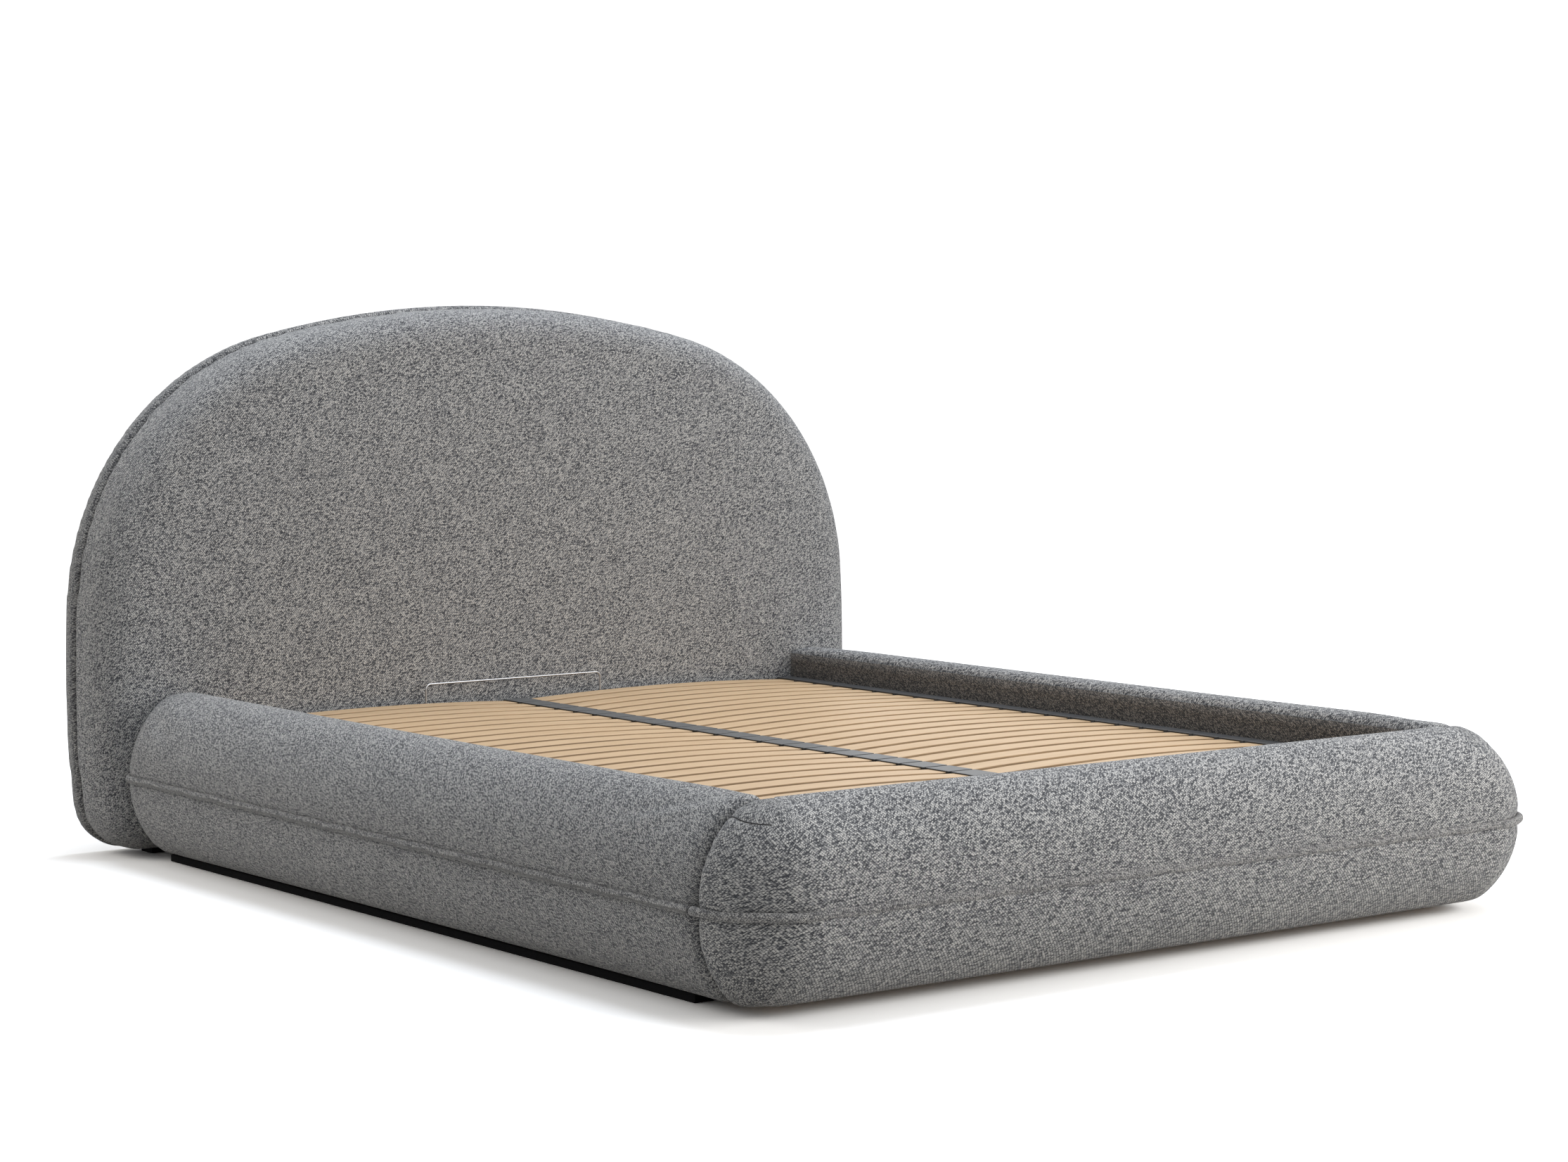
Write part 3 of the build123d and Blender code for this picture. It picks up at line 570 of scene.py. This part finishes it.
def plan_outwards(points):
    """The level way out of the footboard, and how far out each point stands."""
    x = np.maximum(abs(points[:, 0]) - axis_x, 0)
    y = np.maximum(axis_y - points[:, 1], 0)
    far = np.maximum(np.hypot(x, y), nearly_zero)
    return np.stack([np.sign(points[:, 0]) * x / far, -y / far], axis=1), far


way_out, far = plan_outwards(points)
share = np.clip(1 - abs(points[:, 2] - welt_z) / ditch_reach, 0, 1) * (far > face_from_axis)
points[:, :2] -= way_out * (ditch_depth * share * share)[:, None]
set_points(foot_roll.data, points)

# %% [markdown]
# On each corner a short seam closes the gusset of the cloth. It starts at the upright
# crease and runs part of the way round the corner, so it is laid on the roll by dropping
# a line of points on to it from above, and the cloth dips a little along it.

# %% Dips for the corner seams
seam_points = 26
seam_start, seam_sweep = -9, 66
seam_near, seam_widening = 0.070, 0.018
above_roll = 0.6
roll_upper = 0.30
dip_first, dip_last = 0.0045, 0.001
dip_reach = 0.016


def corner_line(sign):
    """The seam's places on the roll, with the surface's normals."""
    tree = BVHTree.FromPolygons([v.co for v in foot_roll.data.vertices],
                                [p.vertices for p in foot_roll.data.polygons])
    places, normals = [], []
    for share in np.linspace(0, 1, seam_points):
        turn = math.radians(seam_start + seam_sweep * share)
        reach = seam_near + seam_widening * math.sqrt(share)
        start = Vector((sign * (axis_x + reach * math.cos(turn)),
                        axis_y - reach * math.sin(turn), above_roll))
        place, normal = tree.ray_cast(start, Vector((0, 0, -1)))[:2]
        places.append(place)
        normals.append(normal)
    return np.array(places), np.array(normals)


points = points_of(foot_roll.data)
for side, sign in both_sides:
    line = corner_line(sign)[0]
    near = np.nonzero((sign * points[:, 0] > axis_x) & (points[:, 2] > roll_upper))[0]
    gap = np.linalg.norm(points[near][:, None] - line[None], axis=2)
    depth = np.linspace(dip_first, dip_last, len(line))[gap.argmin(axis=1)]
    points[near, 2] -= depth * np.clip(1 - gap.min(axis=1) / dip_reach, 0, 1) ** 2
set_points(foot_roll.data, points)
print("points round each corner seam:", len(near))

# %% Cloth of the footboard
foot_coarseness = 0.78
corner_run = 0.13
face_depth = 0.05


def foot_weave(points):
    """Cloth places along the footboard and round its corners, where the strokes are larger."""
    x = abs(points[:, 0])
    turn = np.arctan2(np.maximum(x - axis_x, 0), np.maximum(axis_y - points[:, 1], nearly_zero))
    outwards = np.where(x > axis_x, np.hypot(x - axis_x, points[:, 1] - axis_y),
                        axis_y - points[:, 1])
    past = np.where(x > inner_x, np.maximum(points[:, 1] - axis_y, 0)
                    + crease_pull(foot_y - points[:, 1]), 0)
    across = np.sign(points[:, 0]) * (np.minimum(x, axis_x) + turn * corner_run + past)
    along = np.arctan2(points[:, 2] - roll_z, outwards - face_depth) * corner_radius
    return across * foot_coarseness, along * foot_coarseness


lay_weave(foot_roll, *foot_weave(points))
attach(foot_roll, "bed_frame")
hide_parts("footboard_bolster")
print("cloth laid over", len(points), "points of the footboard")

# %% [markdown]
# ## The headboard
# The front of the headboard is one thick pad that rolls over at its rim and ends in a
# folded seam near the back. Behind the seam runs a narrower strip, and the back is closed
# with thin black dust cloth.

# %% Headboard pads
pad_square = 0.016
pad_puff = 0.006
strip_square = 0.009
rim_reach = 0.014
board_gap = 0.010
flat_share = 0.7
base_reach = 0.030
least_turn = 0.3


def dome_weave(points, normals):
    """Cloth places on the dome: flat in front, and carried on backwards round the rim."""
    outwards = normals[:, [0, 2]]
    length = np.maximum(np.linalg.norm(outwards, axis=1, keepdims=True), least_turn)
    depth = np.maximum(points[:, 1] - head_y, 0)[:, None]
    flat = points[:, [0, 2]] + outwards / length * depth
    return flat[:, 0], flat[:, 1]


head_pad = even_copy("headboard_pad", "headboard_padding", pad_square, grey_cloth)
points = points_of(head_pad.data)
flat = abs(normals_of(head_pad.data)[:, 1]) > flat_share
held = points[:, 1] > seam_low.y - rim_reach
held |= (points[:, 1] > front_board_low.y - board_gap) & flat
held |= points[:, 2] < base_reach
puff(head_pad, held, pad_puff)
relaxed(head_pad)
finer(head_pad)
points = points_of(head_pad.data)
lay_weave(head_pad, *dome_weave(points, normals_of(head_pad.data)))
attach(head_pad, "bed_frame")
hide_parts("headboard_padding")

back_strip = even_copy("headboard_back_strip", "headboard_band", strip_square, edge_cloth)
relaxed(back_strip)
finer(back_strip)
points = points_of(back_strip.data)
lay_weave(back_strip, *dome_weave(points, normals_of(back_strip.data)))
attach(back_strip, "bed_frame")
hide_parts("headboard_band")

# %% [markdown]
# ## Welts and the headboard seam
# A welt is a cord sewn into a strip of the same cloth. It is a ring of points pushed along
# the roll: straight along the rails, turned round the corners of the footboard. The ring
# is nearly round for a welt, and about twice as tall as it is thick for a folded seam.

# %% Helper that pushes a ring of points along a route
def ring_along(name, route, ups, radius, material, closed=False, rounds=12, tall=1.0):
    """A solid roll whose middle follows the route; it is radius * tall high along ups."""
    route = np.asarray(route, float)
    ups = np.asarray(ups, float)
    if closed:
        ways = np.roll(route, -1, axis=0) - np.roll(route, 1, axis=0)
    else:
        ways = np.gradient(route, axis=0)
    ways /= np.linalg.norm(ways, axis=1, keepdims=True)
    sides = np.cross(ups, ways)
    sides /= np.linalg.norm(sides, axis=1, keepdims=True)
    bm = bmesh.new()
    layer = bm.verts.layers.float_vector.new("weave")
    ring = bmesh.ops.create_circle(bm, segments=rounds, radius=radius)["verts"]
    turns = [math.atan2(v.co.y, v.co.x) for v in ring]
    edges = bm.edges[:]
    run = 0.0
    first = ring
    for number, (middle, up, side) in enumerate(zip(route, ups, sides)):
        if number:
            run += float(np.linalg.norm(middle - route[number - 1]))
            grown = bmesh.ops.extrude_edge_only(bm, edges=edges)["geom"]
            edges = [g for g in grown if isinstance(g, bmesh.types.BMEdge)
                     and not any(v in ring for v in g.verts)]
            fresh = {v for v in grown if isinstance(v, bmesh.types.BMVert)}
            ring = [next(e.other_vert(v) for e in v.link_edges if e.other_vert(v) in fresh)
                    for v in ring]
        for v, turn in zip(ring, turns):
            away = side * math.cos(turn) * radius + up * math.sin(turn) * radius * tall
            v.co = Vector(middle + away)
            v[layer] = Vector((run, turn * radius, 0))
    if closed:
        bmesh.ops.bridge_loops(bm, edges=[e for e in bm.edges if e.is_boundary])
    else:
        for end in (first, ring):
            bmesh.ops.contextual_create(bm, geom=end)
    bmesh.ops.recalc_face_normals(bm, faces=bm.faces)
    return piece_from(name, bm, material)


# %% Rail and footboard welts
upwards = (0, 0, 1)
bury = 0.0015
welt_seen_radius = welt_radius - 0.0016
welt_tall = 0.98
welt_sway = 0.0008
welt_end_gap = 0.003
head_gap = 0.002
draw_reach, draw_depth = 0.050, 0.026
rail_steps, corner_steps, front_steps = 150, 18, 130


def head_draw(y):
    """How far the roll's outer side has drawn in at a place near the headboard."""
    share = np.clip((head_y - y) / draw_reach, 0, 1)
    return draw_depth * (1 - np.sin(share * math.pi / 2))


for side, sign in both_sides:
    y = np.linspace(head_y - head_gap, foot_y + welt_end_gap, rail_steps)
    ripple = 0.0006 * np.sin(y * 61 + sign) + 0.0004 * np.sin(y * 143)
    route = np.stack([sign * (outer_x - bury - head_draw(y) + ripple), y,
                      welt_z + welt_sway * np.sin(y * 47 + 2 * sign)], axis=1)
    welt = ring_along(f"side_rail_welt_{side}", route, [upwards] * len(route),
                      welt_seen_radius, welt_cloth, tall=welt_tall)
    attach(welt, "bed_frame")
    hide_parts(f"side_rail_piping_{side}")

reach = corner_radius - bury
turn = np.linspace(0, math.pi / 2, corner_steps)
quarter = np.stack([axis_x + reach * np.cos(turn), axis_y - reach * np.sin(turn)], axis=1)
front_x = np.linspace(axis_x, -axis_x, front_steps)[1:-1]
front = np.stack([front_x, np.full(len(front_x), axis_y - reach)], axis=1)
start = [outer_x - bury, foot_y - welt_end_gap]
end = [bury - outer_x, foot_y - welt_end_gap]
flat_route = np.concatenate([[start], quarter, front, quarter[::-1] * (-1, 1), [end]])
run = np.cumsum(np.linalg.norm(np.gradient(flat_route, axis=0), axis=1))
route = np.column_stack([flat_route, welt_z + welt_sway * np.sin(run * 51)])
foot_welt = ring_along("footboard_welt", route, [upwards] * len(route), welt_seen_radius,
                       welt_cloth, tall=welt_tall)
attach(foot_welt, "bed_frame")
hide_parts("footboard_piping")
print("points along the footboard's welt:", len(route))

# %% Corner seams of the footboard
seam_radius = 0.0018
sunk_first, sunk_last = 0.0003, 0.0011
for side, sign in both_sides:
    line, normals = corner_line(sign)
    line -= normals * np.linspace(sunk_first, sunk_last, len(line))[:, None]
    # The cord is real, but its nearly black colour is painted shade in the seam's ditch.
    seam = ring_along(f"footboard_corner_seam_{side}", line, normals, seam_radius, seam_shade_cloth,
                      rounds=8)
    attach(seam, "bed_frame")
print("corner seams:", len(both_sides))

# %% Headboard seam
def even_loop(node, spacing):
    """The outline of a flat node seen from the front, as evenly spaced points."""
    flat = points_of(nodes[node].data)[:, [0, 2]]
    order = convex_hull_2d([tuple(p) for p in flat])
    hull = flat[order]
    closed = np.vstack([hull, hull[:1]])
    lengths = np.concatenate([[0], np.cumsum(np.linalg.norm(np.diff(closed, axis=0), axis=1))])
    count = int(lengths[-1] / spacing)
    places = np.linspace(0, lengths[-1], count, endpoint=False)
    return np.stack([np.interp(places, lengths, closed[:, i]) for i in (0, 1)], axis=1)


seam_spacing = 0.012
outline = even_loop("headboard_seam", seam_spacing)
ways = np.roll(outline, -1, axis=0) - np.roll(outline, 1, axis=0)
ways /= np.linalg.norm(ways, axis=1, keepdims=True)
outwards = np.stack([ways[:, 1], -ways[:, 0]], axis=1)
if (outwards * (outline - outline.mean(axis=0))).sum() < 0:
    outwards = -outwards
seam_y = (seam_low.y + seam_high.y) / 2


def rim_ring(name, inset, radius, tall, material):
    """A roll that runs right round the headboard, inset from its rim."""
    line = outline - outwards * inset
    route = np.stack([line[:, 0], np.full(len(line), seam_y), line[:, 1]], axis=1)
    ups = np.stack([outwards[:, 0], np.zeros(len(line)), outwards[:, 1]], axis=1)
    return ring_along(name, route, ups, radius, material, closed=True, rounds=10, tall=tall)


seam_fold = rim_ring("headboard_seam_fold", 0.0045, seam_radius, 2.2, edge_cloth)
seam_ditch = rim_ring("headboard_seam_ditch", 0.0150, 0.0060, 2.2, welt_cloth)
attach(seam_ditch, "bed_frame")
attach(seam_fold, "bed_frame")
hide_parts("headboard_seam")
print("headboard outline points:", len(outline))

# %% [markdown]
# ## The flat cloth inside the rails and on the back
# The inner sides of the rails and the footboard are flat boards covered with a darker
# cloth. Each is a thin slab, cut fine enough to puff a little between its edges. The dust
# cloth on the back is a flat sheet along the headboard's outline.

# %% Linings
lining_puff = 0.0006
edge_rise = 6


def thin_cloth(name, low, high, material, cuts):
    """A thin slab between two corners, its visible faces cut and gently puffed."""
    bm = bmesh.new()
    bmesh.ops.create_cube(bm, size=1)
    size = high - low
    bmesh.ops.scale(bm, vec=size, verts=bm.verts)
    bmesh.ops.translate(bm, vec=(low + high) / 2, verts=bm.verts)
    thin = min(range(3), key=lambda i: size[i])
    for i in range(3):
        if i == thin:
            continue
        normal = [0, 0, 0]
        normal[i] = 1
        for number in range(1, cuts[i]):
            at = [0, 0, 0]
            at[i] = low[i] + size[i] * number / cuts[i]
            bmesh.ops.bisect_plane(bm, geom=bm.verts[:] + bm.edges[:] + bm.faces[:],
                                   plane_co=at, plane_no=normal)
    layer = bm.verts.layers.float_vector.new("weave")
    wide = [i for i in range(3) if i != thin]
    for v in bm.verts:
        shares = [(v.co[i] - low[i]) / size[i] for i in wide]
        rise = math.prod(min(1.0, edge_rise * min(s, 1 - s)) for s in shares)
        wave = 0.6 + 0.4 * math.sin(v.co[wide[0]] * 21) * math.sin(v.co[wide[1]] * 17)
        sign = 1 if v.co[thin] > (low[thin] + high[thin]) / 2 else -1
        v[layer] = Vector((v.co[wide[0]], v.co[wide[1]], 0))
        v.co[thin] += lining_puff * sign * rise * wave
    return piece_from(name, bm, material)


for side, sign in both_sides:
    low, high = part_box(f"side_rail_lining_{side}")
    lining = thin_cloth(f"side_rail_inner_cloth_{side}", low, high, lining_cloth, (1, 90, 16))
    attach(lining, "bed_frame")
    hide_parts(f"side_rail_lining_{side}")
low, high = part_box("footboard_lining")
lining = thin_cloth("footboard_inner_cloth", low, high, lining_cloth, (80, 1, 16))
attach(lining, "bed_frame")
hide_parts("footboard_lining")
print("faces of the footboard's inner cloth:", len(lining.data.polygons))

# %% Back dust cloth
back_spacing = 0.020
back_hem = 0.012
back_slack = 0.0002

bm = bmesh.new()
back_loop = even_loop("headboard_back_cloth", back_spacing)
bm.faces.new([bm.verts.new((x, cloth_low.y, z)) for x, z in back_loop])
bmesh.ops.inset_region(bm, faces=bm.faces[:], thickness=back_hem)
bmesh.ops.triangulate(bm, faces=[f for f in bm.faces if len(f.verts) > 4])
bmesh.ops.recalc_face_normals(bm, faces=bm.faces)
back = piece_from("headboard_dust_cloth", bm, dust_cloth)
thick = back.modifiers.new("Thickness", "SOLIDIFY")
thick.thickness = cloth_high.y - cloth_low.y - back_slack
thick.offset = 0
applied(back)
points = points_of(back.data)
points[:, 1] += (cloth_low.y + cloth_high.y) / 2 - points[:, 1].mean()
set_points(back.data, points)
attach(back, "bed_frame")
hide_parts("headboard_back_cloth")
print("points round the dust cloth:", len(back_loop))

# %% [markdown]
# ## The plates between the two rows of slats
# Each pair of slats meets in one grey plate, and the plates read as a row of loose tiles
# with dark gaps. The solids stand nearly end to end, because they share out the pitch, so
# each copy is drawn in a little towards its own middle and its top is crowned.

# %% Middle plates
top_layer = 0.0015
crown_drop = 0.0008
end_inset = 0.0024

bm = bmesh.new()
bm.from_mesh(nodes["centre_holders"].data)
bmesh.ops.remove_doubles(bm, verts=bm.verts, dist=weld_distance)
waiting = set(bm.verts)
plates = []
while waiting:
    island, found = [], [waiting.pop()]
    while found:
        v = found.pop()
        island.append(v)
        linked = {e.other_vert(v) for e in v.link_edges} & waiting
        waiting -= linked
        found.extend(linked)
    plates.append(island)
for island in plates:
    low = min(v.co.y for v in island)
    high = max(v.co.y for v in island)
    top = max(v.co.z for v in island)
    for v in island:
        share = (2 * v.co.y - low - high) / (high - low)
        if v.co.z > top - top_layer:
            v.co.z -= crown_drop * share**2
        v.co.y -= end_inset * share
# The plates' side faces carry painted shade from their finish, which darkens the gaps between
# them.
tiles = piece_from("middle_slat_plates", bm, plate_plastic_painted_sides, smooth=False)
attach(tiles, "lift_base")
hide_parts("centre_holders")
print("middle plates:", len(plates))

# %% [markdown]
# ## The plinths under the rails
# Each plinth stops short of the footboard's rounded corner, so only the shadow shows there.

# %% Plinths
plinth_short = 0.12
for side, sign in both_sides:
    bm = bmesh.new()
    bm.from_mesh(nodes[f"side_plinth_{side}"].data)
    near_end = min(v.co.y for v in bm.verts) + plinth_short
    for v in bm.verts:
        v.co.y = max(v.co.y, near_end)
    plinth = piece_from(f"plinth_board_{side}", bm, black_edge, smooth=False)
    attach(plinth, "bed_frame")
    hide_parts(f"side_plinth_{side}")
print("plinths stop short by", plinth_short)

# %% [markdown]
# ## Floor, light and camera
# The bed stands on a wide white floor under large soft lamps. The floor gives back light
# as a pale grey one does, and only the camera sees it whiter than that, so the shadow
# stays and the bed doesn't get more light.

# %% Floor and backdrop
floor_half = 30.0
near_white, far_white = 1.9, 3.0
near_floor, far_floor = 2.2, 4.2
felt_white = (0.5, 0.475, 0.44)
world_light, world_white = 0.38, 1.1


def seen_rays(tree):
    """A socket that is 1 for what is seen, directly or in a surface, and 0 for light."""
    path = add(tree, "LightPath")
    seen = add(tree, "Math", [(0, path.outputs["Is Camera Ray"]),
                              (1, path.outputs["Is Glossy Ray"])], operation="MAXIMUM")
    seen = add(tree, "Math", [(0, seen.outputs[0]),
                              (1, path.outputs["Is Transmission Ray"])], operation="MAXIMUM")
    return seen.outputs[0]


bm = bmesh.new()
bmesh.ops.create_grid(bm, x_segments=1, y_segments=1, size=floor_half)
material, tree, shader = finish("studio_floor_white", 0.9, Specular_IOR_Level=0.0)
where = add(tree, "TexCoord")
far = add(tree, "VectorMath", [(0, where.outputs["Object"])], operation="LENGTH")
far = add(tree, "MapRange", [("Value", far.outputs["Value"]), ("From Min", near_floor),
                             ("From Max", far_floor)], interpolation_type="SMOOTHSTEP")
seen_white = mixed(tree, far.outputs["Result"], (near_white,) * 3, (far_white,) * 3)
tree.links.new(mixed(tree, seen_rays(tree), felt_white, seen_white), shader.inputs["Base Color"])
floor = piece_from("studio_floor", bm, material)

world = bpy.data.worlds.new("studio")
scene.world = world
world.use_nodes = True
tree = world.node_tree
background = tree.nodes["Background"]
strength = add(tree, "MapRange", [("Value", seen_rays(tree)), ("To Min", world_light),
                                  ("To Max", world_white)])
background.inputs["Color"].default_value = (1, 1, 1, 1)
tree.links.new(strength.outputs["Result"], background.inputs["Strength"])
print("floor seen as", near_white, "to", far_white, "and felt as", felt_white)


# %% Lamps
def lamp(name, place, target, size, power, colour):
    """A large soft lamp that points at a target."""
    data = bpy.data.lights.new(name, "AREA")
    data.shape = "DISK"
    data.size = size
    data.energy = power
    data.color = colour
    made = bpy.data.objects.new(name, data)
    made.location = place
    made.rotation_euler = (Vector(target) - Vector(place)).to_track_quat("-Z", "Y").to_euler()
    scene.collection.objects.link(made)


lamp("top_lamp", (0.6, 0.4, 4.2), (0, 0.2, 0.3), 3.4, 115.0, (0.86, 0.92, 1.0))
lamp("right_lamp", (3.8, -4.0, 2.3), (0.4, -0.6, 0.3), 2.4, 95.0, (1.0, 0.98, 0.95))
lamp("front_lamp", (1.6, -4.5, 1.4), (0.1, -1.1, 0.2), 1.8, 42.0, (1.0, 0.97, 0.93))
lamp("left_lamp", (-3.7, 2.4, 2.2), (-1.0, 0.3, 0.2), 2.0, 26.0, (1.0, 0.95, 0.88))
print("lamps:", len(bpy.data.lights))

# %% Camera
look_down = 0.074994
look_right = 0.65231
camera_data = bpy.data.cameras.new("camera")
camera_data.lens = 77.2
camera_data.sensor_width = 36.0
camera_data.clip_end = 100.0
camera = bpy.data.objects.new("camera", camera_data)
camera.location = (-4.1391, -5.4319, 1.1290)
camera.rotation_euler = (math.pi / 2 - look_down, 0, -look_right)
scene.collection.objects.link(camera)
scene.camera = camera
print("camera at", tuple(camera.location), "with lens", camera_data.lens)
